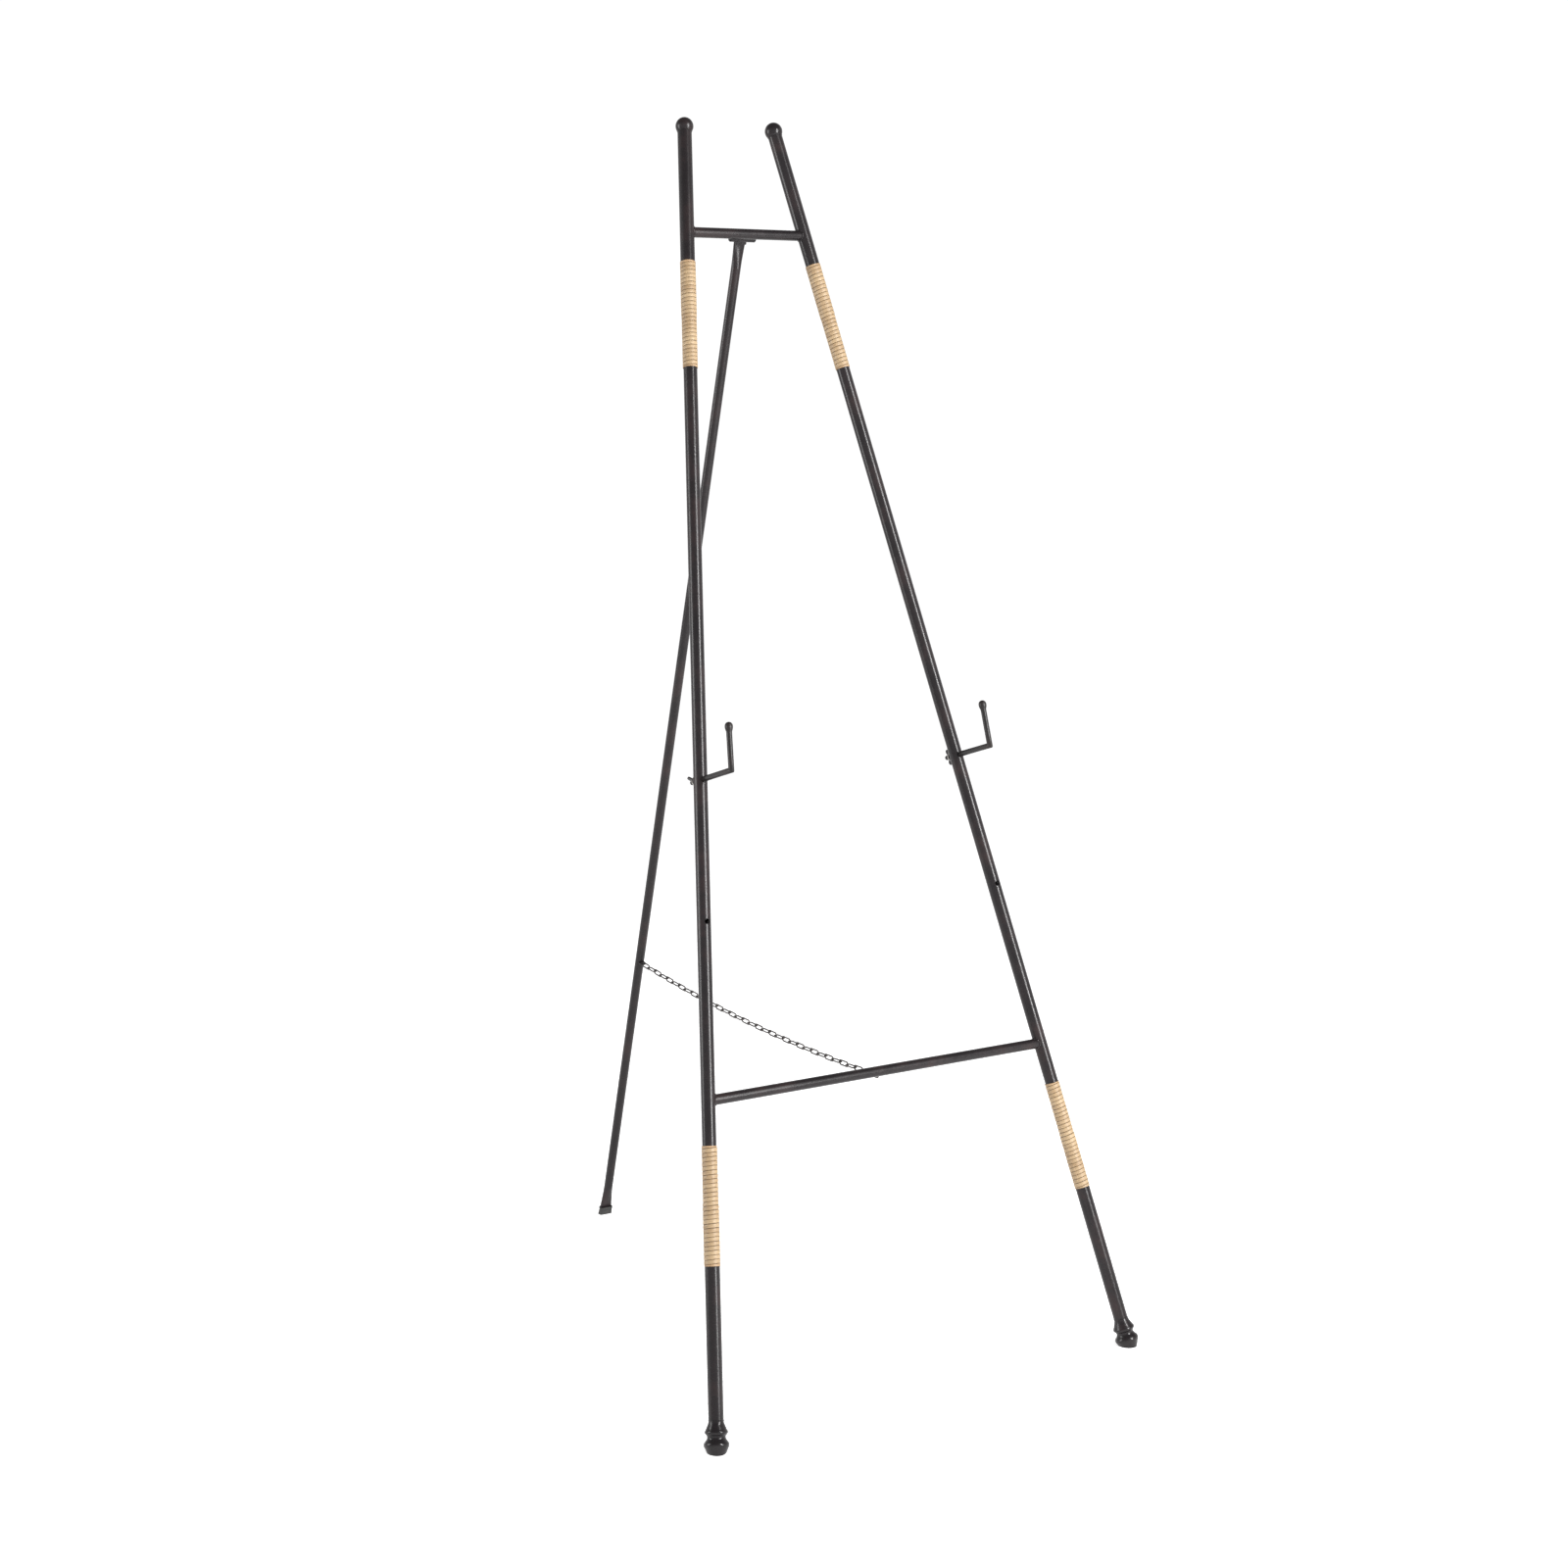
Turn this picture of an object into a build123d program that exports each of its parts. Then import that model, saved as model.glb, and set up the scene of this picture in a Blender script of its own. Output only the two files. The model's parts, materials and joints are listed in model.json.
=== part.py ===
"""Floor-standing display easel in iron tube, with cane bindings, two hooks and a folding rear leg.

Millimetres. +Z is up, the front faces -Y and +X is to the right as seen from the front.
The origin is under the middle of the whole easel's bounding box, on the floor.
"""
from build123d import *
from math import asin, atan2, cos, degrees, pi, radians, sin, sqrt, tan
import os

# ---- driving dimensions: the A-shaped front frame, measured in its own leaning plane ----
LEAN = 17.0                # the frame leans back from the vertical, degrees
LEG_LENGTH = 1582.0        # from the centre of the ball finial to where the axis meets the floor
TOP_HALF = 65.0            # half the spread of the two legs at the ball centres
FOOT_HALF = 301.5          # half the spread where the axes meet the floor
FRONT_Y = -396.57          # where the leg axes meet the floor; it centres the easel on the origin

# ---- tubes ----
LEG_D = 16.8               # middle tube of each leg
END_D = 17.8               # upper and lower tubes of each leg
BORE_D = 14.4              # bore of all leg tubes, which the spigots fill
BAR_D = 12.7
REAR_D = 12.3
WALL = 1.2
SPIGOT_LENGTH = 90.0

# ---- stations along a leg, measured down from the ball centre ----
TOP_BAR_AT = 136.8
UPPER_WRAP = (175.6, 309.8)
HOOK_AT = 814.7
SPARE_HOLE_AT = 982.4
LOWER_BAR_AT = 1189.2
LOWER_WRAP = (1240.6, 1376.2)
WRAP_D = 19.2

# ---- ball finial and turned foot ----
BALL_D = 22.2
PLUG_LENGTH = 12.0
FOOT_HEIGHT = 35.0
FOOT_FLARE = ((32.0, 18.8), (28.0, 22.2), (24.9, 25.0))    # heights up the leg's axis, and diameters
UPPER_BEAD = ((22.5, 27.0), (20.4, 25.4))
GROOVE = ((18.1, 22.0), (15.9, 21.8))
LOWER_BEAD = ((12.4, 26.2), (8.9, 29.4), (4.6, 26.8), (1.0, 23.6))
FOOT_BOTTOM = (-8.0, 16.0)         # where the turned shape would end; the floor cuts it off above this

# ---- hooks, with their washers and wing nuts ----
HOOK_D = 7.0
HOOK_REACH = 72.0          # from the leg's axis to the upright's axis
HOOK_RISE = 51.5           # from the arm's axis to the ball's centre
HOOK_TURN = {-1: -6.5, 1: 1.0}    # how each upright stands, from straight up the frame, degrees
HOOK_BALL_D = 9.8
HOOK_NECK = (7.0, 4.0, 9.1)       # where it starts below the ball's centre, length, upper diameter
HOOK_HOLE_D = 6.5
THREAD_D = 5.9
THREAD_END = 20.5          # the threaded end stands this far behind the leg's axis
SEAT_GAP = 0.3             # clearance between a hook, washer or nut and what it faces
WASHER = (12.5, 6.4, 1.2)  # outer diameter, hole, thickness
NUT_BORE_D = 6.0
NUT_HUB_D = 9.4
NUT_HUB_BACK_D = 7.8
NUT_HEIGHT = 5.5
NUT_WING_SPAN = 20.0
NUT_WING_T = 1.8
NUT_WING_TIP = (4.5, 3.2)         # its centre behind the hub's front, and radius
NUT_WING_ROOT = (2.6, 2.5)        # the same for the wing's root
NUT_TURN = {-1: -40.0, 1: -81.4}  # how the wings of each nut stand, from the horizontal, degrees

# ---- hinge under the top crossbar ----
PIN_BEHIND = 9.85          # pin axis behind and below the crossbar's axis
PIN_BELOW = 5.9
PIN_D = 3.5
PIN_HEAD = (5.4, 1.0)      # diameter and thickness
KNUCKLE_D = 7.0
LEAF_T = 2.0
LEAF_HALF = 17.6
LEAF_BITE = 0.3            # the fixed leaf is hollowed this deep to seat on the crossbar
KNUCKLE_SPLIT = 7.8        # half the width of the moving knuckle and its leaf
KNUCKLE_GAP = 0.3
RUNNING_GAP = 0.05
FIXED_LEAF_TOP = 10.0
MOVING_LEAF_LENGTH = 7.0

# ---- rear leg ----
REAR_TILT = 15.1           # the rear leg's angle from the vertical, degrees
FLAT_T = 3.6               # thickness of the tube's flattened ends
TOP_FLAT_W = 16.0
BOTTOM_FLAT_W = 17.4
LOOP_CORNER = 27.0         # where a round section's sides meet a flattened one's, degrees
TOP_STUB = 4.0             # the flattened end stands this far above the pin
TOP_FLAT = 7.0
TOP_TAPER = 30.0
BOTTOM_FLAT = 9.0
BOTTOM_TAPER = 30.0
SHOE = (19.4, 9.0, 12.0)   # width, depth and height of the rubber shoe
SHOE_CORNER_R = 2.8
SHOE_SOLE = 3.0

# ---- stay chain ----
CHAIN_LINKS = 35
FRONT_LINKS = 17
LINK_WIRE = 1.8
LINK_INNER_W = 4.1
LINK_SLACK = 0.25          # free play at each pair of links
CHAIN_SAG = 11.0
CHAIN_ROLL = -6.0          # the chain lies rolled this far where it is most, a quarter from the front
EYE_WIRE = 2.4
EYE_INNER_W = 5.0
EYE_STAND = 4.8            # from the tube's surface to the middle of the eye's crown
EYE_BEND = 2.2
EYE_DROP = 43.0            # the front eye points this far below the horizontal, degrees
REAR_EYE_AT = 1003.7       # from the hinge pin, down the rear leg

# ---- derived places ----
SPLAY = degrees(asin((FOOT_HALF - TOP_HALF) / LEG_LENGTH))
FRAME_PLACE = Pos(0, FRONT_Y, 0) * Rot(-LEAN, 0, 0)
REAR_OFFSET = KNUCKLE_D / 2 + FLAT_T / 2


def frame_height(station):
    """Height in the frame's plane of a station measured down a leg."""
    return (LEG_LENGTH - station) * cos(radians(SPLAY))


def leg_half(station):
    """Half the spread of the leg axes at a station measured down a leg."""
    return FOOT_HALF - (LEG_LENGTH - station) * sin(radians(SPLAY))


def frame_point(x, height, behind=0.0):
    """World place of a point given in the frame's plane."""
    return (FRAME_PLACE * Pos(x, behind, height)).position


TOP_BAR = frame_point(0, frame_height(TOP_BAR_AT))
LOWER_BAR = frame_point(0, frame_height(LOWER_BAR_AT))
PIN = TOP_BAR + Vector(0, PIN_BEHIND, -PIN_BELOW)
REAR_PLACE = Pos(PIN) * Rot(REAR_TILT, 0, 0)
REAR_FLOOR = REAR_OFFSET * tan(radians(REAR_TILT)) - PIN.Z / cos(radians(REAR_TILT))
FRONT_CROWN = LOWER_BAR + Vector(0, cos(radians(EYE_DROP)), -sin(radians(EYE_DROP))) * (BAR_D / 2 + EYE_STAND)
REAR_CROWN = (REAR_PLACE * Pos(0, REAR_OFFSET - REAR_D / 2 - EYE_STAND, -REAR_EYE_AT)).position


def rod(diameter, low, high):
    """A round bar on the Z axis between two heights."""
    return Pos(0, 0, low) * Cylinder(diameter / 2, high - low, align=(Align.CENTER, Align.CENTER, Align.MIN))


def tube(diameter, bore, low, high):
    return rod(diameter, low, high) - rod(bore, low - 1, high + 1)


def leg_place(side):
    """The leg's own frame: Z runs up its axis from the underside of the foot."""
    return FRAME_PLACE * Pos(side * FOOT_HALF, 0, 0) * Rot(0, -side * SPLAY, 0)


def up(station):
    """Height on the leg's own axis of a station measured down from the ball."""
    return LEG_LENGTH - station


# ---- legs ----
UPPER_JOINT = up(sum(UPPER_WRAP) / 2)
LOWER_JOINT = up(sum(LOWER_WRAP) / 2)
TUBE_TOP = LEG_LENGTH - sqrt(BALL_D**2 - END_D**2) / 2


def cross_hole(height):
    """A hole front to back through a leg, for a hook's threaded end."""
    drill = Cylinder(HOOK_HOLE_D / 2, 2 * LEG_D, rotation=(90, 0, 0))
    return Pos(0, 0, height) * drill


def upper_tube():
    return tube(END_D, BORE_D, UPPER_JOINT, TUBE_TOP)


def middle_tube():
    body = tube(LEG_D, BORE_D, LOWER_JOINT, UPPER_JOINT)
    return body - cross_hole(up(HOOK_AT)) - cross_hole(up(SPARE_HOLE_AT))


def lower_tube():
    return tube(END_D, BORE_D, FOOT_HEIGHT, LOWER_JOINT)


def spigot(joint):
    return tube(BORE_D, BORE_D - 2 * WALL, joint - SPIGOT_LENGTH / 2, joint + SPIGOT_LENGTH / 2)


def binding(stations, joint, wide_above):
    """The cane binding over a tube joint, as a plain sleeve on both tube sizes."""
    low, high = up(stations[1]), up(stations[0])
    above, below = (END_D, LEG_D) if wide_above else (LEG_D, END_D)
    return rod(WRAP_D, low, high) - rod(above, joint, high + 1) - rod(below, low - 1, joint)


def ball_finial():
    ball = Pos(0, 0, LEG_LENGTH) * Sphere(BALL_D / 2)
    ball -= rod(BALL_D, LEG_LENGTH - BALL_D, TUBE_TOP)
    return ball + rod(BORE_D, TUBE_TOP - PLUG_LENGTH, TUBE_TOP)


def turned_foot(side):
    """A turned foot of a flare, two beads and a groove between them, cut level where it stands."""
    stations = [(FOOT_HEIGHT, END_D), *FOOT_FLARE, *UPPER_BEAD, *GROOVE, *LOWER_BEAD, FOOT_BOTTOM]
    bottom, bottom_d = FOOT_BOTTOM
    plug_top = FOOT_HEIGHT + PLUG_LENGTH
    profile = Polyline((bottom_d / 2, bottom), (0, bottom), (0, plug_top), (BORE_D / 2, plug_top),
                       (BORE_D / 2, FOOT_HEIGHT), (END_D / 2, FOOT_HEIGHT))
    profile += Spline(*[(diameter / 2, height) for height, diameter in stations])
    block = 4 * FOOT_HEIGHT
    floor_block = Box(block, block, block, align=(Align.CENTER, Align.CENTER, Align.MAX))
    foot = leg_place(1) * revolve(Plane.XZ * make_face(profile), Axis.Z)
    foot -= Pos(FOOT_HALF, FRONT_Y, 0) * floor_block
    return foot if side > 0 else mirror(foot, Plane.YZ)


# ---- crossbars ----
def crossbar(station):
    """A tube between the legs, coped to fit round them."""
    half = leg_half(station)
    height = frame_height(station)
    bar = Pos(0, 0, height) * Rot(0, 90, 0) * tube(BAR_D, BAR_D - 2 * WALL, -half, half)
    leg_d = END_D if station < UPPER_WRAP[0] else LEG_D
    for side in (-1, 1):
        leg = Pos(side * FOOT_HALF, 0, 0) * Rot(0, -side * SPLAY, 0) * rod(leg_d, 0, LEG_LENGTH)
        bar -= leg
    middle = max(bar.solids(), key=lambda piece: piece.volume)
    return FRAME_PLACE * middle


# ---- hinge ----
def knuckle(low, high, bore):
    barrel = tube(KNUCKLE_D, bore, low, high)
    return Rot(0, 90, 0) * barrel


def fixed_leaf():
    """Leaf welded to the back of the top crossbar, with the two outer knuckles."""
    leaf_back = -KNUCKLE_D / 2 + LEAF_T
    plate = Pos(0, leaf_back, 0) * Box(2 * LEAF_HALF, LEAF_T + LEAF_BITE, FIXED_LEAF_TOP,
                                       align=(Align.CENTER, Align.MAX, Align.MIN))
    window = KNUCKLE_D / 2 + KNUCKLE_GAP
    plate -= Box(2 * (KNUCKLE_SPLIT + KNUCKLE_GAP), 4 * KNUCKLE_D, 2 * window)
    plate -= Rot(0, 90, 0) * rod(PIN_D, -LEAF_HALF - 1, LEAF_HALF + 1)
    body = Pos(PIN) * (plate + knuckle(-LEAF_HALF, -KNUCKLE_SPLIT - KNUCKLE_GAP, PIN_D)
                       + knuckle(KNUCKLE_SPLIT + KNUCKLE_GAP, LEAF_HALF, PIN_D))
    bar = Pos(TOP_BAR) * Rot(0, 90, 0) * rod(BAR_D, -2 * LEAF_HALF, 2 * LEAF_HALF)
    return body - bar


def moving_leaf():
    """Leaf welded to the flattened top of the rear leg, with the middle knuckle."""
    plate = Pos(0, KNUCKLE_D / 2, 0) * Box(2 * KNUCKLE_SPLIT, LEAF_T, MOVING_LEAF_LENGTH,
                                           align=(Align.CENTER, Align.MAX, Align.MAX))
    bore = PIN_D + 2 * RUNNING_GAP
    plate -= Rot(0, 90, 0) * rod(bore, -LEAF_HALF, LEAF_HALF)
    return REAR_PLACE * (plate + knuckle(-KNUCKLE_SPLIT, KNUCKLE_SPLIT, bore))


def hinge_pin():
    pin = rod(PIN_D, -LEAF_HALF - PIN_HEAD[1], LEAF_HALF + PIN_HEAD[1])
    for side in (-1, 1):
        head = Pos(0, 0, side * (LEAF_HALF + PIN_HEAD[1] / 2)) * Cylinder(PIN_HEAD[0] / 2, PIN_HEAD[1])
        pin += head
    return Pos(PIN) * Rot(0, 90, 0) * pin


# ---- rear leg ----
def flattened_loop(width, thickness, height):
    """A stadium-shaped wire of two lines and two half circles."""
    r = thickness / 2
    x = width / 2 - r
    return Wire([Line((-x, -r, height), (x, -r, height)).edge(),
                 ThreePointArc((x, -r, height), (x + r, 0, height), (x, r, height)).edge(),
                 Line((x, r, height), (-x, r, height)).edge(),
                 ThreePointArc((-x, r, height), (-x - r, 0, height), (-x, -r, height)).edge()])


def round_loop(diameter, height):
    """A circle as four arcs that pair with the stadium's four sides."""
    r = diameter / 2
    corner = radians(LOOP_CORNER)
    x, y = r * cos(corner), r * sin(corner)
    return Wire([ThreePointArc((-x, -y, height), (0, -r, height), (x, -y, height)).edge(),
                 ThreePointArc((x, -y, height), (r, 0, height), (x, y, height)).edge(),
                 ThreePointArc((x, y, height), (0, r, height), (-x, y, height)).edge(),
                 ThreePointArc((-x, y, height), (-r, 0, height), (-x, -y, height)).edge()])


def rear_skin(inset, flat_t, ends):
    """The rear tube's outside, or its bore when inset: flattened at both ends, round between."""
    top = TOP_STUB + ends
    flat_end = -TOP_FLAT
    round_top = flat_end - TOP_TAPER
    bottom = REAR_FLOOR + SHOE_SOLE - ends
    low_flat = bottom + BOTTOM_FLAT + ends
    round_low = low_flat + BOTTOM_TAPER
    width = TOP_FLAT_W - 2 * inset
    foot_width = BOTTOM_FLAT_W - 2 * inset
    diameter = REAR_D - 2 * inset
    body = Solid.make_loft([flattened_loop(width, flat_t, flat_end), flattened_loop(width, flat_t, top)], True)
    body += Solid.make_loft([round_loop(diameter, round_top), flattened_loop(width, flat_t, flat_end)])
    body += rod(diameter, round_low, round_top)
    body += Solid.make_loft([flattened_loop(foot_width, flat_t, low_flat), round_loop(diameter, round_low)])
    body += Solid.make_loft([flattened_loop(foot_width, flat_t, bottom),
                             flattened_loop(foot_width, flat_t, low_flat)], True)
    return Pos(0, REAR_OFFSET, 0) * body


def rear_tube():
    return REAR_PLACE * (rear_skin(0, FLAT_T, 0) - rear_skin(WALL, FLAT_T - 2 * WALL, 2))


def rear_shoe():
    """A rubber shoe over the flattened lower end, cut flat where it stands on the floor."""
    outline = RectangleRounded(SHOE[0], SHOE[1], SHOE_CORNER_R)
    body = Pos(0, REAR_OFFSET, REAR_FLOOR - SHOE[1]) * extrude(outline, SHOE[2] + SHOE[1])
    body -= rear_skin(0, FLAT_T, 0)
    middle = (REAR_PLACE * Pos(0, 0, REAR_FLOOR)).position
    reach = 4 * SHOE[0]
    below = Box(reach, reach, reach, align=(Align.CENTER, Align.CENTER, Align.MAX))
    return REAR_PLACE * body - Pos(0, middle.Y, 0) * below


# ---- stay chain ----
def eye():
    """A staple: two legs along Z and a crown along X, whose middle is at the origin."""
    half = (EYE_INNER_W + EYE_WIRE) / 2
    root = -EYE_STAND - BAR_D / 2
    path = FilletPolyline((-half, 0, root), (-half, 0, 0), (half, 0, 0), (half, 0, root), radius=EYE_BEND)
    section = Pos(-half, 0, root) * Circle(EYE_WIRE / 2)
    return sweep(section, path=path)


def front_eye():
    staple = Pos(FRONT_CROWN) * Rot(-90 - EYE_DROP, 0, 0) * eye()
    bar = Pos(LOWER_BAR) * Rot(0, 90, 0) * rod(BAR_D, -30, 30)
    return staple - bar


def rear_eye():
    staple = Pos(REAR_CROWN) * Rot(REAR_TILT + 90, 0, 0) * eye()
    leg = REAR_PLACE * Pos(0, REAR_OFFSET, 0) * rod(REAR_D, -REAR_EYE_AT - 60, -REAR_EYE_AT + 60)
    return staple - leg


def chain_point(t):
    """A point on the chain's shallow hanging curve, from the front eye to the rear eye."""
    return FRONT_CROWN + (REAR_CROWN - FRONT_CROWN) * t + Vector(0, 0, -4 * CHAIN_SAG * t * (1 - t))


def chain_length(steps=400):
    spots = [chain_point(i / steps) for i in range(steps + 1)]
    return sum((b - a).length for a, b in zip(spots, spots[1:]))


END_REACH = LINK_SLACK / 2 + EYE_WIRE / 2
LINK_PITCH = (chain_length() + 2 * END_REACH - LINK_SLACK) / CHAIN_LINKS
LINK_INNER_L = LINK_PITCH + LINK_SLACK


def link():
    """One oval link in the XZ plane, its length along X."""
    bend = (LINK_INNER_W + LINK_WIRE) / 2
    half = (LINK_INNER_L + LINK_WIRE) / 2 - bend
    ring = Rot(90, 0, 0) * Torus(bend, LINK_WIRE / 2)
    body = None
    for side in (-1, 1):
        straight = Pos(0, 0, side * bend) * Rot(0, 90, 0) * rod(LINK_WIRE, -half, half)
        end = Pos(side * half, 0, 0) * (ring & Pos(side * 2 * bend, 0, 0) * Box(4 * bend, 4 * bend, 4 * bend))
        body = straight + end if body is None else body + straight + end
    return body


def link_place(index):
    """Place of a link, counted from the front eye; every second one is turned by 90 degrees."""
    middle = (index + 0.5) * LINK_PITCH - END_REACH + LINK_SLACK / 2
    share = middle / chain_length()
    centre = chain_point(share)
    ahead = chain_point(share + 0.01) - chain_point(share - 0.01)
    slope = degrees(atan2(ahead.Z, ahead.Y))
    roll = 90 * (index % 2) + CHAIN_ROLL * sin(pi * sqrt(share))
    return Pos(centre) * Rot(slope, 0, 0) * Rot(0, 0, 90) * Rot(roll, 0, 0)


def chain_run(first, last):
    one = link()
    return Compound(children=[link_place(index) * one for index in range(first, last)])


# ---- hooks ----
def hook_place(side):
    """The hook's own frame: X forward along the arm, Z up along the leaning frame, Y across."""
    place = FRAME_PLACE * Pos(side * leg_half(HOOK_AT), 0, frame_height(HOOK_AT))
    return place * Rot(0, 0, -90)


def hook():
    """An L-shaped rod with a ball tip; its thinner threaded end passes through the leg."""
    seat = LEG_D / 2 + SEAT_GAP
    arm = Rot(0, 90, 0) * rod(HOOK_D, seat, HOOK_REACH)
    upright = Pos(HOOK_REACH, 0, 0) * rod(HOOK_D, 0, HOOK_RISE)
    elbow = Pos(HOOK_REACH, 0, 0) * Sphere(HOOK_D / 2)
    neck_start, neck_length, neck_top_d = HOOK_NECK
    neck = Pos(HOOK_REACH, 0, HOOK_RISE - neck_start + neck_length / 2)
    neck *= Cone(HOOK_D / 2, neck_top_d / 2, neck_length)
    ball = Pos(HOOK_REACH, 0, HOOK_RISE) * Sphere(HOOK_BALL_D / 2)
    thread = Rot(0, 90, 0) * rod(THREAD_D, -THREAD_END, seat)
    return arm + elbow + upright + neck + ball + thread


def washer():
    outer, hole, thick = WASHER
    back = -LEG_D / 2 - SEAT_GAP
    return Rot(0, 90, 0) * tube(outer, hole, back - thick, back)


def wing_nut(turn):
    """A wing nut on the threaded end: a tapered hub and two rounded wings."""
    front = -LEG_D / 2 - 2 * SEAT_GAP - WASHER[2]
    hub = Cone(NUT_HUB_D / 2, NUT_HUB_BACK_D / 2, NUT_HEIGHT)
    body = Pos(front - NUT_HEIGHT / 2, 0, 0) * Rot(0, -90, 0) * hub
    tip_behind, tip_r = NUT_WING_TIP
    root_behind, root_r = NUT_WING_ROOT
    for side in (-1, 1):
        tip = Circle(tip_r).moved(Location((front - tip_behind, side * (NUT_WING_SPAN / 2 - tip_r), 0)))
        root = Circle(root_r).moved(Location((front - root_behind, side * NUT_HUB_D / 4, 0)))
        blade = make_hull((tip + root).edges())
        body += Pos(0, 0, -NUT_WING_T / 2) * extrude(blade, NUT_WING_T)
    body -= Rot(0, 90, 0) * rod(NUT_BORE_D, -2 * THREAD_END, 0)
    return Rot(turn, 0, 0) * body


# ---- every piece by name ----
def pieces():
    parts = {"top_crossbar": crossbar(TOP_BAR_AT), "lower_crossbar": crossbar(LOWER_BAR_AT)}
    for side, name in ((-1, "left"), (1, "right")):
        leg = leg_place(side)
        arm = hook_place(side)
        parts[name + "_ball_finial"] = leg * ball_finial()
        parts[name + "_upper_tube"] = leg * upper_tube()
        parts[name + "_middle_tube"] = leg * middle_tube()
        parts[name + "_lower_tube"] = leg * lower_tube()
        parts[name + "_upper_spigot"] = leg * spigot(UPPER_JOINT)
        parts[name + "_lower_spigot"] = leg * spigot(LOWER_JOINT)
        parts[name + "_upper_binding"] = leg * binding(UPPER_WRAP, UPPER_JOINT, True)
        parts[name + "_lower_binding"] = leg * binding(LOWER_WRAP, LOWER_JOINT, False)
        parts[name + "_foot"] = turned_foot(side)
        parts[name + "_hook"] = arm * Rot(HOOK_TURN[side], 0, 0) * hook()
        parts[name + "_hook_washer"] = arm * washer()
        parts[name + "_wing_nut"] = arm * wing_nut(NUT_TURN[side])
    parts["hinge_fixed_leaf"] = fixed_leaf()
    parts["hinge_moving_leaf"] = moving_leaf()
    parts["hinge_pin"] = hinge_pin()
    parts["rear_leg_tube"] = rear_tube()
    parts["rear_leg_shoe"] = rear_shoe()
    parts["chain_front_eye"] = front_eye()
    parts["chain_rear_eye"] = rear_eye()
    parts["chain_front_run"] = chain_run(0, FRONT_LINKS)
    parts["chain_rear_run"] = chain_run(FRONT_LINKS, CHAIN_LINKS)
    return parts


if __name__ == "__main__":
    os.makedirs("parts", exist_ok=True)
    for node, shape in pieces().items():
        export_step(shape, f"parts/{node}.step")
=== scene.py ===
import json
import random
from math import acos, cos, floor, pi, radians, sin, sqrt, tau

import bpy
from mathutils import Matrix, Vector


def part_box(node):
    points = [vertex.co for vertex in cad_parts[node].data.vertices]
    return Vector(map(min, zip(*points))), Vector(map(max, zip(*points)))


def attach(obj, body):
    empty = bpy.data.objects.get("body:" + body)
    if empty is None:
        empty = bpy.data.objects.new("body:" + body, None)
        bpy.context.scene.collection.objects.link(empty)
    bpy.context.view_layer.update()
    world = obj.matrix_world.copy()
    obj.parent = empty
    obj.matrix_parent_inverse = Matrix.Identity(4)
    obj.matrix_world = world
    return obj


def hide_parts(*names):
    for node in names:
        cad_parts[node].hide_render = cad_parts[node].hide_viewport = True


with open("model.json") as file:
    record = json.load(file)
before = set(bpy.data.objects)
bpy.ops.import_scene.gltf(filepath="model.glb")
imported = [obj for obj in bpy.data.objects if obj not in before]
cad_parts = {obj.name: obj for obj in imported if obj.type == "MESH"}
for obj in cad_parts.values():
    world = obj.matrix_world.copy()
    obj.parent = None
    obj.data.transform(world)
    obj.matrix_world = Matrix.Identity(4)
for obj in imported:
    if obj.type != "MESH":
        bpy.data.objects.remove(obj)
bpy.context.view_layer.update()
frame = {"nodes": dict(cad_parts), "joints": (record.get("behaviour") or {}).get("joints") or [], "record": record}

MM = 0.001
SIDES = ("left", "right")
mounts = {m["name"]: m for m in frame["record"]["mounts"]}
joints = {j["name"]: j for j in frame["joints"]}

# ---- sizes of the real object that the boxes don't give, in metres ----
LEG_R = 8.4 * MM
END_R = 8.9 * MM
BAR_R = 6.35 * MM
SLEEVE_R = 9.6 * MM        # the CAD sleeve that each cane binding replaces
CANE_PITCH = 4.95 * MM
CANE_THICK = 0.78 * MM
CANE_OUTER = 9.56 * MM     # the strip stays inside the sleeve
CANE_TUCK = 0.03 * MM      # the strip's back lies this far inside the tube's surface
JOINT_BLEND = 4 * MM       # the tube's radius changes over this length under a binding
HOOK_R = 3.5 * MM
HOOK_REACH = 72 * MM
HOOK_RISE = 51.5 * MM
HOOK_SEAT = 8.7 * MM
HOOK_EDGE = 0.6 * MM       # rounding of the mitred corner
HOOK_CHAMFER = 0.35 * MM
THREAD_GAP = 0.1 * MM      # the plain shank is this much under the thread's outside
THREAD_END = 20.5 * MM
THREAD_PITCH = 1.0 * MM
THREAD_R = 2.95 * MM
THREAD_DEPTH = 0.32 * MM
THREAD_STEP = 0.125 * MM
PLAIN_FROM = -1.0 * MM     # the thread stops here, inside the leg
PLAIN_STEP = 2.5 * MM
TIP_CHAMFER = (0.3 * MM, 0.5 * MM)


def leg_frame(side):
    """Foot-to-ball direction, forward normal and a point on a leg's axis, from its two hook holes."""
    spare = Vector(mounts[side + "_spare_hole"]["pos_m"])
    used = Vector(joints[side + "_hook_turn"]["pos_m"])
    forward = Vector(mounts[side + "_spare_hole"]["axis"]).normalized()
    return (used - spare).normalized(), forward, spare


def basis(z_axis, x_hint, origin):
    """A matrix whose Z runs along z_axis and whose X is as near x_hint as it can be."""
    z_axis = z_axis.normalized()
    x_axis = (x_hint - z_axis * x_hint.dot(z_axis)).normalized()
    y_axis = z_axis.cross(x_axis)
    m = Matrix((x_axis, y_axis, z_axis)).transposed().to_4x4()
    m.translation = origin
    return m


# ---------------------------------------------------------------- materials
def new_material(name):
    m = bpy.data.materials.new(name)
    m.use_nodes = True
    return m, m.node_tree.nodes, m.node_tree.links, m.node_tree.nodes["Principled BSDF"]


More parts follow.
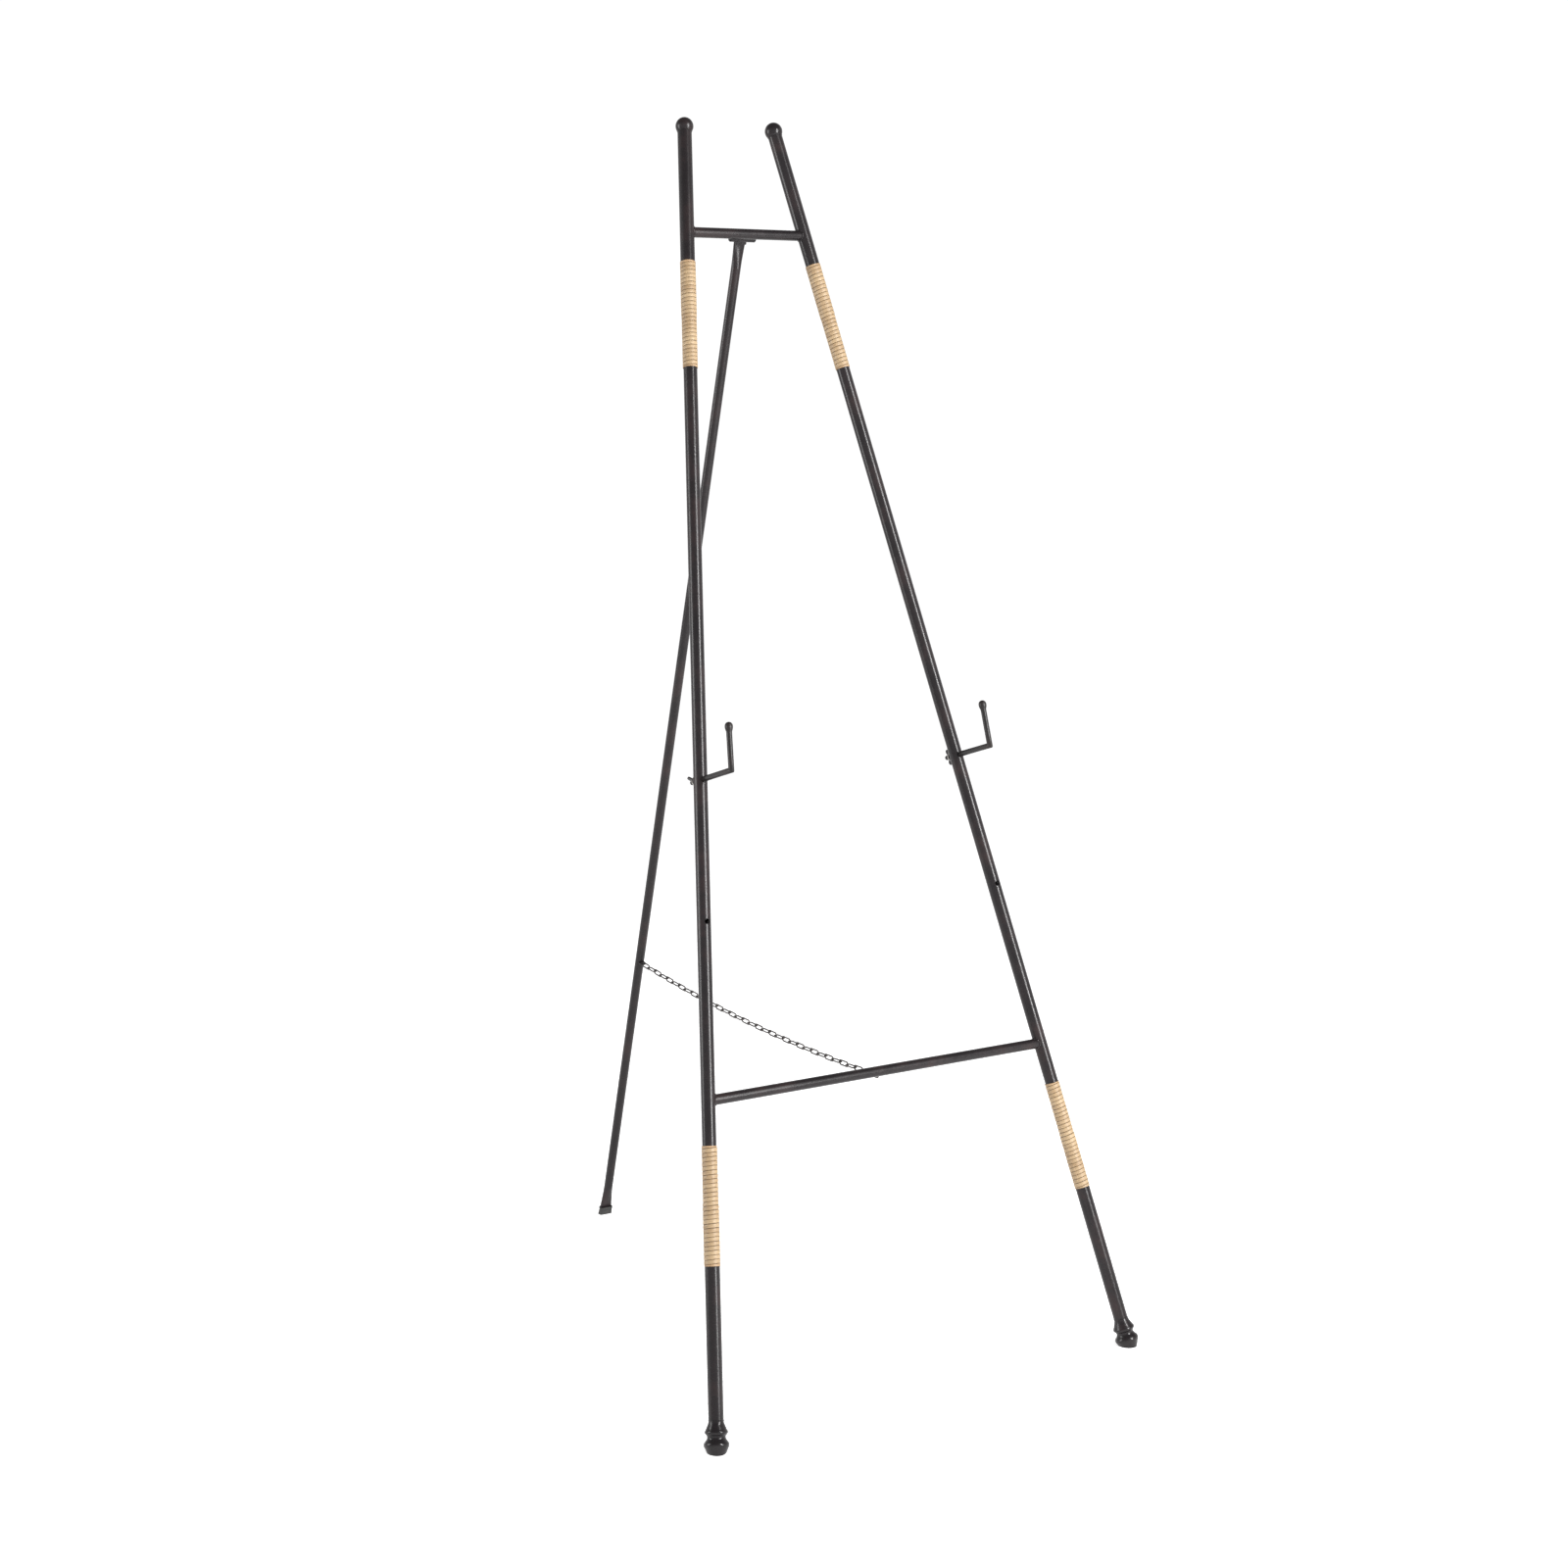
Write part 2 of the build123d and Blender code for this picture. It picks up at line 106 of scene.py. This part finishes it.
def noise(nodes, links, vector, scale, detail=4.0, roughness=0.5):
    n = nodes.new("ShaderNodeTexNoise")
    n.inputs["Scale"].default_value = scale
    n.inputs["Detail"].default_value = detail
    n.inputs["Roughness"].default_value = roughness
    links.new(vector, n.inputs["Vector"])
    return n.outputs["Fac"]


def ramp(nodes, links, value, stops):
    r = nodes.new("ShaderNodeValToRGB")
    links.new(value, r.inputs["Fac"])
    elements = r.color_ramp.elements
    while len(elements) < len(stops):
        elements.new(0.5)
    for element, (position, colour) in zip(elements, stops):
        element.position = position
        element.color = (*colour, 1.0)
    return r.outputs["Color"]


def grey_ramp(nodes, links, value, low, high, start=0.3, end=0.7):
    return ramp(nodes, links, value, [(start, (low, low, low)), (end, (high, high, high))])


def mix(nodes, links, kind, factor, a, b):
    m = nodes.new("ShaderNodeMixRGB")
    m.blend_type = kind
    for socket, value in ((m.inputs["Fac"], factor), (m.inputs["Color1"], a), (m.inputs["Color2"], b)):
        if hasattr(value, "links"):
            links.new(value, socket)
        else:
            socket.default_value = value if isinstance(value, float) else (*value, 1.0)
    return m.outputs["Color"]


def bump(nodes, links, bsdf, height, strength, distance):
    b = nodes.new("ShaderNodeBump")
    b.inputs["Strength"].default_value = strength
    b.inputs["Distance"].default_value = distance
    links.new(height, b.inputs["Height"])
    links.new(b.outputs["Normal"], bsdf.inputs["Normal"])


def painted_iron(name, tint=(0.0100, 0.0078, 0.0086), dull=0.27):
    """Satin black paint on drawn iron tube: brownish mottling, fine orange peel and dusty rubs."""
    m, nodes, links, bsdf = new_material(name)
    place = nodes.new("ShaderNodeTexCoord").outputs["Object"]
    cloud = noise(nodes, links, place, 26, 5, 0.6)
    grain = noise(nodes, links, place, 900, 3, 0.6)
    rub = noise(nodes, links, place, 160, 6, 0.75)
    warm = tuple(c * f for c, f in zip(tint, (1.75, 1.4, 1.3)))
    cool = tuple(c * f for c, f in zip(tint, (0.72, 0.76, 0.78)))
    colour = ramp(nodes, links, cloud, [(0.34, cool), (0.52, tint), (0.68, warm)])
    scuff = ramp(nodes, links, rub, [(0.66, (0, 0, 0)), (0.80, (1, 1, 1))])
    colour = mix(nodes, links, "MIX", scuff, colour, (0.024, 0.020, 0.019))
    links.new(colour, bsdf.inputs["Base Color"])
    rough = mix(nodes, links, "ADD", 1.0, grey_ramp(nodes, links, cloud, dull - 0.06, dull + 0.05),
                grey_ramp(nodes, links, rub, 0.0, 0.12, 0.55, 0.8))
    links.new(rough, bsdf.inputs["Roughness"])
    bsdf.inputs["Specular IOR Level"].default_value = 0.24
    peel = mix(nodes, links, "MIX", 0.55, grey_ramp(nodes, links, grain, 0.3, 0.7),
               grey_ramp(nodes, links, noise(nodes, links, place, 240, 2), 0.2, 0.8))
    bump(nodes, links, bsdf, peel, 0.05, 0.00022)
    return m


def steel(name, tint, dull, scratch=700):
    """Bare or blackened steel with fine scratches and patches of tarnish."""
    m, nodes, links, bsdf = new_material(name)
    place = nodes.new("ShaderNodeTexCoord").outputs["Object"]
    patch = noise(nodes, links, place, 120, 5, 0.65)
    fine = noise(nodes, links, place, scratch, 4, 0.7)
    dark = tuple(c * 0.45 for c in tint)
    links.new(ramp(nodes, links, patch, [(0.35, dark), (0.62, tint)]), bsdf.inputs["Base Color"])
    bsdf.inputs["Metallic"].default_value = 1.0
    links.new(grey_ramp(nodes, links, patch, dull + 0.14, dull), bsdf.inputs["Roughness"])
    bump(nodes, links, bsdf, fine, 0.15, 0.0002)
    return m


def moulded_rubber(name):
    m, nodes, links, bsdf = new_material(name)
    place = nodes.new("ShaderNodeTexCoord").outputs["Object"]
    dust = noise(nodes, links, place, 180, 6, 0.7)
    grain = noise(nodes, links, place, 1500, 2)
    links.new(ramp(nodes, links, dust, [(0.40, (0.011, 0.011, 0.011)), (0.75, (0.035, 0.033, 0.030))]),
              bsdf.inputs["Base Color"])
    links.new(grey_ramp(nodes, links, dust, 0.62, 0.82), bsdf.inputs["Roughness"])
    bump(nodes, links, bsdf, grain, 0.25, 0.0003)
    return m


def split_cane(name):
    """Flat cane strip: fibres run along the strip, tones change from turn to turn, and shade is painted dark into
    the gaps between turns.
    """
    m, nodes, links, bsdf = new_material(name)
    uv = nodes.new("ShaderNodeUVMap")
    uv.uv_map = "strip"
    stretch = nodes.new("ShaderNodeMapping")
    stretch.inputs["Scale"].default_value = (38, 2100, 1)
    links.new(uv.outputs["UV"], stretch.inputs["Vector"])
    fibre = noise(nodes, links, stretch.outputs["Vector"], 1.0, 5, 0.62)
    knots = nodes.new("ShaderNodeMapping")
    knots.inputs["Scale"].default_value = (110, 420, 1)
    links.new(uv.outputs["UV"], knots.inputs["Vector"])
    blotch = noise(nodes, links, knots.outputs["Vector"], 1.0, 4, 0.6)
    # the attribute holds each turn's tone (red), the place across the strip where painted shade darkens the gaps
    # (green) and the end stain (blue)
    attribute = nodes.new("ShaderNodeAttribute")
    attribute.attribute_name = "cane_tone_gap_shade_and_stain"
    parts = nodes.new("ShaderNodeSeparateColor")
    links.new(attribute.outputs["Color"], parts.inputs["Color"])
    tone = ramp(nodes, links, parts.outputs["Red"],
                [(0.0, (0.255, 0.170, 0.090)), (0.45, (0.293, 0.205, 0.114)), (1.0, (0.336, 0.243, 0.139))])
    streak = ramp(nodes, links, fibre,
                  [(0.30, (0.50, 0.40, 0.30)), (0.55, (1, 1, 1)), (0.80, (1.12, 1.08, 1.0))])
    colour = mix(nodes, links, "MULTIPLY", 0.6, tone, streak)
    patches = ramp(nodes, links, blotch, [(0.58, (0, 0, 0)), (0.78, (0.8, 0.8, 0.8))])
    colour = mix(nodes, links, "MULTIPLY", patches, colour, (0.62, 0.45, 0.30))
    # painted shade: the strip's edges are darkened towards a dark brown, as if shaded in the gaps between turns
    painted_gap_shade = ramp(nodes, links, parts.outputs["Green"], [(0.82, (0, 0, 0)), (1.0, (0.72, 0.72, 0.72))])
    colour = mix(nodes, links, "MIX", painted_gap_shade, colour, (0.105, 0.052, 0.020))
    stain = ramp(nodes, links, parts.outputs["Blue"], [(0.25, (0, 0, 0)), (1.0, (0.55, 0.55, 0.55))])
    colour = mix(nodes, links, "MIX", stain, colour, (0.25, 0.105, 0.035))
    links.new(colour, bsdf.inputs["Base Color"])
    links.new(grey_ramp(nodes, links, fibre, 0.60, 0.42), bsdf.inputs["Roughness"])
    bump(nodes, links, bsdf, fibre, 0.5, 0.00030)
    return m


IRON = painted_iron("painted_iron")
HOOK_IRON = painted_iron("hook_iron", (0.0110, 0.0096, 0.0096), 0.36)
CHAIN = steel("chain_wire", (0.090, 0.082, 0.080), 0.38)
STEEL = steel("plain_steel", (0.42, 0.40, 0.38), 0.30)
RUBBER = moulded_rubber("moulded_rubber")
CANE = split_cane("split_cane")


# ---------------------------------------------------------------- mesh tools
def skin(name, rings, body, material, closed=False):
    """A closed mesh through rings of points, which all have the same number of points."""
    count = len(rings[0])
    vertices = [tuple(p) for ring in rings for p in ring]
    faces = []
    spans = len(rings) if closed else len(rings) - 1
    for i in range(spans):
        j = (i + 1) % len(rings)
        for k in range(count):
            l = (k + 1) % count
            faces.append((i * count + k, i * count + l, j * count + l, j * count + k))
    if not closed:
        faces.append(tuple(reversed(range(count))))
        faces.append(tuple(range((len(rings) - 1) * count, len(rings) * count)))
    mesh = bpy.data.meshes.new(name)
    mesh.from_pydata(vertices, [], faces)
    mesh.validate()
    for polygon in mesh.polygons:
        polygon.use_smooth = len(polygon.vertices) == 4
    mesh.materials.append(material)
    obj = bpy.data.objects.new(name, mesh)
    bpy.context.scene.collection.objects.link(obj)
    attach(obj, body)
    return obj


def circle(place, radius, z=0.0, count=24):
    angles = [tau * k / count for k in range(count)]
    return [place @ Vector((radius * cos(angle), radius * sin(angle), z)) for angle in angles]


# ---------------------------------------------------------------- cane bindings
SECTION = ((-1.0, 0.08), (-0.93, 0.62), (-0.78, 0.90), (-0.4, 1.0), (0.0, 1.0),
           (0.4, 1.0), (0.78, 0.90), (0.93, 0.62), (1.0, 0.08))
TURN_STEPS = 56
CANE_COVER = 0.965         # the strip's width over its pitch
CANE_EXTRA = 0.8           # turns beyond the sleeve's length, where the strip tapers in and out


def binding(side, level, seed):
    """A flat cane strip wound close round a leg as one closed ribbon, cut level at the sleeve's ends."""
    up, forward, on_axis = leg_frame(side)
    low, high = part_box(f"{side}_{level}_binding")
    middle = (low + high) / 2
    centre = on_axis + up * (middle - on_axis).dot(up)
    tilt = acos(up.z)
    half = ((high.z - low.z) / 2 - SLEEVE_R * sin(tilt)) / cos(tilt)
    place = basis(up, forward, centre)
    rng = random.Random(seed)
    turns = round(2 * half / CANE_PITCH)
    pitch = 2 * half / turns
    width = pitch * CANE_COVER
    thick_above = level == "upper"
    total = turns + CANE_EXTRA
    steps = round(total * TURN_STEPS)
    lift = [rng.uniform(-0.05, 0.035) * MM for _ in range(turns + 3)]
    tones = [rng.random() for _ in range(turns + 3)]
    drift = [rng.uniform(-0.12, 0.12) * MM for _ in range(turns + 3)]
    rings, colours, uvs = [], [], []
    for step in range(steps + 1):
        turn = step / TURN_STEPS
        whole = int(floor(turn))
        part = turn - whole
        soft = part * part * (3 - 2 * part)
        blend = lambda values: values[whole] * (1 - soft) + values[whole + 1] * soft
        z = -half + pitch * (turn - CANE_EXTRA / 2) + blend(drift)
        wide_end = (z > 0) == thick_above
        inner = END_R if wide_end else LEG_R
        near_joint = min(abs(z) / JOINT_BLEND, 1.0)
        inner = (END_R + LEG_R) / 2 * (1 - near_joint) + inner * near_joint
        outer = min(inner + CANE_THICK, CANE_OUTER) + blend(lift)
        angle = tau * turn + pi
        ring = []
        ends = min(turn, total - turn)
        end_stain = max(0.0, 1.0 - ends / 1.3)
        for v, height in SECTION:
            r = inner + (outer - inner) * height
            level_z = min(max(z + v * width / 2, -half), half)
            ring.append(place @ Vector((r * cos(angle), r * sin(angle), level_z)))
            # green is the place across the strip, which the material uses to paint shade into the gaps between
            # turns
            colours.append((blend(tones), abs(v), end_stain * (0.35 + 0.65 * tones[whole]), 1.0))
            uvs.append((turn * tau * LEG_R, v * width / 2 + turn * 0.013))
        for v in (0.97, -0.97):
            r = inner - CANE_TUCK
            level_z = min(max(z + v * width / 2, -half), half)
            ring.append(place @ Vector((r * cos(angle), r * sin(angle), level_z)))
            # the tucked-under edges get the full painted gap shade
            colours.append((0.3, 1.0, end_stain, 1.0))
            uvs.append((turn * tau * LEG_R, v * width / 2 + turn * 0.013))
        rings.append(ring)
    piece = skin(f"{side}_{level}_cane", rings, "front_frame", CANE)
    tone = piece.data.color_attributes.new("cane_tone_gap_shade_and_stain", "FLOAT_COLOR", "POINT")
    tone.data.foreach_set("color", [c for colour in colours for c in colour])
    strip = piece.data.uv_layers.new(name="strip")
    for loop in piece.data.loops:
        strip.data[loop.index].uv = uvs[loop.vertex_index]
    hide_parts(f"{side}_{level}_binding")


for number, side in enumerate(SIDES):
    for offset, level in enumerate(("upper", "lower")):
        binding(side, level, 11 + 7 * number + 3 * offset)


# ---------------------------------------------------------------- hooks
def thread_radius(z, angle):
    """A shallow 60-degree thread, as a height over a cylinder."""
    phase = (z / THREAD_PITCH - angle / tau) % 1.0
    return THREAD_R - THREAD_DEPTH * abs(2 * phase - 1)


BALL_PROFILE = ((-9.5, 3.5), (-7.0, 3.55), (-5.6, 3.85), (-4.2, 4.35), (-2.6, 4.75), (-0.8, 4.92), (1.0, 4.8),
                (2.6, 4.2), (3.8, 3.2), (4.6, 1.9), (4.88, 0.7))


def hook(side):
    """An L-shaped iron rod with a mitred corner, a threaded end and an acorn-shaped tip."""
    _, forward, _ = leg_frame(side)
    origin = Vector(joints[side + "_hook_turn"]["pos_m"])
    rise = Vector(mounts[side + "_ledge"]["axis"]).normalized()
    along = basis(forward, rise, origin)
    count = 28
    rings = []
    z = -THREAD_END
    inset, rise_in = TIP_CHAMFER
    rings.append(circle(along, THREAD_R - THREAD_DEPTH - inset, z, count))
    z += rise_in
    shank = THREAD_R - THREAD_GAP
    while z < HOOK_SEAT - THREAD_GAP:
        ring = []
        for k in range(count):
            angle = tau * k / count
            r = thread_radius(z, angle) if z < PLAIN_FROM else shank
            ring.append(along @ Vector((r * cos(angle), r * sin(angle), z)))
        rings.append(ring)
        z += THREAD_STEP if z < PLAIN_FROM else PLAIN_STEP
    rings.append(circle(along, shank, HOOK_SEAT, count))
    rings.append(circle(along, HOOK_R - HOOK_CHAMFER, HOOK_SEAT, count))
    rings.append(circle(along, HOOK_R, HOOK_SEAT + HOOK_CHAMFER, count))
    for share in (0.25, 0.5, 0.75):
        rings.append(circle(along, HOOK_R, HOOK_SEAT + (HOOK_REACH - HOOK_SEAT) * share, count))
    corner = origin + forward * HOOK_REACH
    across = forward.cross(rise)
    mitre = Matrix((rise - forward, across, forward)).transposed().to_4x4()
    for radius, shift in ((HOOK_R, -forward), (HOOK_R - HOOK_EDGE / 2, Vector()), (HOOK_R, rise)):
        mitre.translation = corner + shift * HOOK_EDGE
        rings.append(circle(mitre, radius, 0.0, count))
    last = basis(rise, -forward, corner)
    for share in (0.3, 0.6):
        rings.append(circle(last, HOOK_R, HOOK_RISE * share, count))
    for z, r in BALL_PROFILE:
        rings.append(circle(last, r * MM, HOOK_RISE + z * MM, count))
    piece = skin(f"{side}_hook_rod", rings, f"{side}_hook", HOOK_IRON)
    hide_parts(f"{side}_hook")


for side in SIDES:
    hook(side)


# ---------------------------------------------------------------- welds
BAR_BEAD_R = 1.15 * MM
BALL_BEAD_R = 0.55 * MM
FOOT_BEAD_R = 0.5 * MM
WELD_UP = Vector((0.31, 0.52, 0.79))    # any direction that no weld runs along


def weld(name, points, radius, seed, body="front_frame"):
    """A rippled bead along a closed line of points."""
    rng = random.Random(seed)
    rings = []
    total = len(points)
    for i, point in enumerate(points):
        ahead = (points[(i + 1) % total] - points[i - 1]).normalized()
        ripple = 1 + 0.16 * sin(tau * i / 5.0) + rng.uniform(-0.10, 0.10)
        rings.append(circle(basis(ahead, WELD_UP, point), radius * ripple, 0.0, 8))
    return skin(name, rings, body, IRON, closed=True)


def bar_weld(side, bar, radius, seed):
    """The weld where a crossbar's coped end meets a leg."""
    up, forward, on_axis = leg_frame(side)
    low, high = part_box(bar)
    centre = (low + high) / 2
    inward = 1.0 if side == "left" else -1.0
    points = []
    count = 60
    for i in range(count):
        angle = tau * i / count
        y = centre.y + BAR_R * cos(angle)
        z = centre.z + BAR_R * sin(angle)
        start = Vector((0.0, y, z)) - on_axis
        line = Vector((-inward, 0.0, 0.0))
        flat_start = start - up * start.dot(up)
        flat_line = line - up * line.dot(up)
        a = flat_line.dot(flat_line)
        b = 2 * flat_start.dot(flat_line)
        c = flat_start.dot(flat_start) - radius * radius
        reach = (-b - sqrt(max(b * b - 4 * a * c, 0.0))) / (2 * a)
        points.append(Vector((0.0, y, z)) + line * reach)
    weld(f"{side}_{bar}_weld", points, BAR_BEAD_R, seed)


for number, side in enumerate(SIDES):
    bar_weld(side, "top_crossbar", END_R, 31 + number)
    bar_weld(side, "lower_crossbar", LEG_R, 41 + number)


def ring_weld(side, node, at_top, radius, bead, seed):
    """A neat bead round a leg tube's end, under a ball or over a foot."""
    up, forward, on_axis = leg_frame(side)
    low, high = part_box(node)
    middle = (low + high) / 2
    tilt = acos(up.z)
    half = ((high.z - low.z) / 2 - radius * sin(tilt)) / cos(tilt)
    height = (middle - on_axis).dot(up) + (half if at_top else -half)
    place = basis(up, forward, on_axis + up * height)
    weld(f"{node}_end_weld", circle(place, radius, 0.0, 72), bead, seed)


for number, side in enumerate(SIDES):
    ring_weld(side, f"{side}_upper_tube", True, END_R, BALL_BEAD_R, 51 + number)
    ring_weld(side, f"{side}_lower_tube", False, END_R, FOOT_BEAD_R, 61 + number)


# ---------------------------------------------------------------- rear shoe
REAR_TILT = radians(15.1)
SHOE_HALF_W = 9.65 * MM
SHOE_HALF_D = 4.45 * MM
SHOE_CORNER = 2.8 * MM
SHOE_HEIGHT = 11.95 * MM
SHOE_HOLE = (8.72 * MM, 1.82 * MM)
SHOE_PROFILE = ((0.0, 0.35), (0.04, 0.05), (0.16, 0.0), (0.30, 0.28), (0.62, 0.55), (0.74, 0.50),
                (0.80, 0.12), (0.86, 0.0), (0.94, 0.0), (0.985, 0.12), (1.0, 0.45))
SHOE_MOUTH_DEPTH = 1.5 * MM
SHOE_MOUTH_CORNER = 1.8 * MM


def rounded_loop(half_x, half_y, corner, steps=7):
    """Points round a rectangle with rounded corners, anticlockwise."""
    points = []
    for quarter, (sx, sy) in enumerate(((1, 1), (-1, 1), (-1, -1), (1, -1))):
        for k in range(steps + 1):
            angle = pi / 2 * (quarter + k / steps)
            x = sx * (half_x - corner) + corner * cos(angle)
            y = sy * (half_y - corner) + corner * sin(angle)
            points.append((x, y))
    return points


def rear_shoe():
    """A moulded rubber shoe with a lip, worn flat on the floor under the leaning leg."""
    sole = Vector(mounts["rear_sole"]["pos_m"])
    up_leg = Vector((0.0, -sin(REAR_TILT), cos(REAR_TILT)))
    back = Vector((0.0, cos(REAR_TILT), sin(REAR_TILT)))
    below = SHOE_HALF_D * sin(REAR_TILT) / cos(REAR_TILT)
    rings = []
    for share, inset in SHOE_PROFILE:
        height = -below + (SHOE_HEIGHT + below) * share
        inset *= MM
        ring = []
        for x, y in rounded_loop(SHOE_HALF_W - inset, SHOE_HALF_D - inset, SHOE_CORNER - inset):
            point = sole + Vector((x, 0.0, 0.0)) + back * y + up_leg * height
            if point.z < 0.0:
                point -= up_leg * (point.z / up_leg.z)
            ring.append(point)
        rings.append(ring)
    for height in (SHOE_HEIGHT, SHOE_HEIGHT - SHOE_MOUTH_DEPTH):
        rings.append([sole + Vector((x, 0.0, 0.0)) + back * y + up_leg * height
                      for x, y in rounded_loop(*SHOE_HOLE, SHOE_MOUTH_CORNER)])
    piece = skin("rear_shoe_rubber", rings, "rear_leg", RUBBER)
    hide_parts("rear_leg_shoe")


rear_shoe()


# ---------------------------------------------------------------- finish of the CAD nodes
def paint(node, material):
    mesh = frame["nodes"][node].data
    if not mesh.materials:
        mesh.materials.append(material)
    for i in range(len(mesh.materials)):
        mesh.materials[i] = material


for node in frame["nodes"]:
    if node.startswith("chain_") and node.endswith("_run"):
        paint(node, CHAIN)
    elif "spigot" in node or "washer" in node:
        paint(node, STEEL)
    elif node == "rear_leg_shoe":
        paint(node, RUBBER)
    elif "binding" in node:
        paint(node, CANE)
    else:
        paint(node, IRON)


# ---------------------------------------------------------------- floor, light and camera
def studio_floor():
    """A plain white floor with a little light of its own, as a lit paper sweep has."""
    size = 30.0
    mesh = bpy.data.meshes.new("floor")
    corners = [(-size, -size, 0), (size, -size, 0), (size, size, 0), (-size, size, 0)]
    mesh.from_pydata(corners, [], [(0, 1, 2, 3)])
    paper, _, _, bsdf = new_material("paper_white")
    bsdf.inputs["Base Color"].default_value = (0.80, 0.80, 0.80, 1.0)
    bsdf.inputs["Roughness"].default_value = 1.0
    bsdf.inputs["Specular IOR Level"].default_value = 0.0
    bsdf.inputs["Emission Color"].default_value = (1.0, 1.0, 1.0, 1.0)
    bsdf.inputs["Emission Strength"].default_value = 0.60
    mesh.materials.append(paper)
    sweep = bpy.data.objects.new("floor", mesh)
    bpy.context.scene.collection.objects.link(sweep)


def look_at(obj, target):
    obj.rotation_euler = (Vector(target) - obj.location).to_track_quat("-Z", "Y").to_euler()


def softbox(name, place, target, size_x, size_y, power):
    data = bpy.data.lights.new(name, "AREA")
    data.shape = "RECTANGLE"
    data.size = size_x
    data.size_y = size_y
    data.energy = power
    lamp = bpy.data.objects.new(name, data)
    lamp.location = place
    bpy.context.scene.collection.objects.link(lamp)
    look_at(lamp, target)


def studio_light():
    """White all round and dimmer overhead, with a narrow softbox to the right and a weaker broad one left."""
    bpy.context.scene.view_settings.view_transform = "Standard"
    world = bpy.data.worlds.new("studio")
    world.use_nodes = True
    nodes, links = world.node_tree.nodes, world.node_tree.links
    place = nodes.new("ShaderNodeTexCoord")
    split = nodes.new("ShaderNodeSeparateXYZ")
    links.new(place.outputs["Generated"], split.inputs["Vector"])
    sky = ramp(nodes, links, split.outputs["Z"],
               [(0.0, (1.0, 1.0, 1.0)), (0.34, (1.0, 1.0, 1.0)), (0.72, (0.30, 0.30, 0.30))])
    links.new(sky, nodes["Background"].inputs["Color"])
    nodes["Background"].inputs["Strength"].default_value = 1.06
    bpy.context.scene.world = world
    middle = (0.0, 0.0, 0.8)
    softbox("strip_right", (0.95, -2.9, 1.75), middle, 0.30, 2.3, 190)
    softbox("broad_left", (-2.9, 1.1, 1.3), middle, 1.0, 1.8, 60)


def camera():
    data = bpy.data.cameras.new("camera")
    data.sensor_width = 36.0
    data.lens = 59.74
    data.clip_end = 100.0
    view = bpy.data.objects.new("camera", data)
    view.location = (-1.7481, -2.7574, 1.2061)
    turn, down, roll = radians(33.018), radians(9.133), radians(0.156)
    ahead = Vector((sin(turn) * cos(down), cos(turn) * cos(down), -sin(down)))
    level = ahead.to_track_quat("-Z", "Y").to_matrix()
    view.rotation_euler = (level @ Matrix.Rotation(roll, 3, "Z")).to_euler()
    bpy.context.scene.collection.objects.link(view)
    bpy.context.scene.camera = view


studio_floor()
studio_light()
camera()
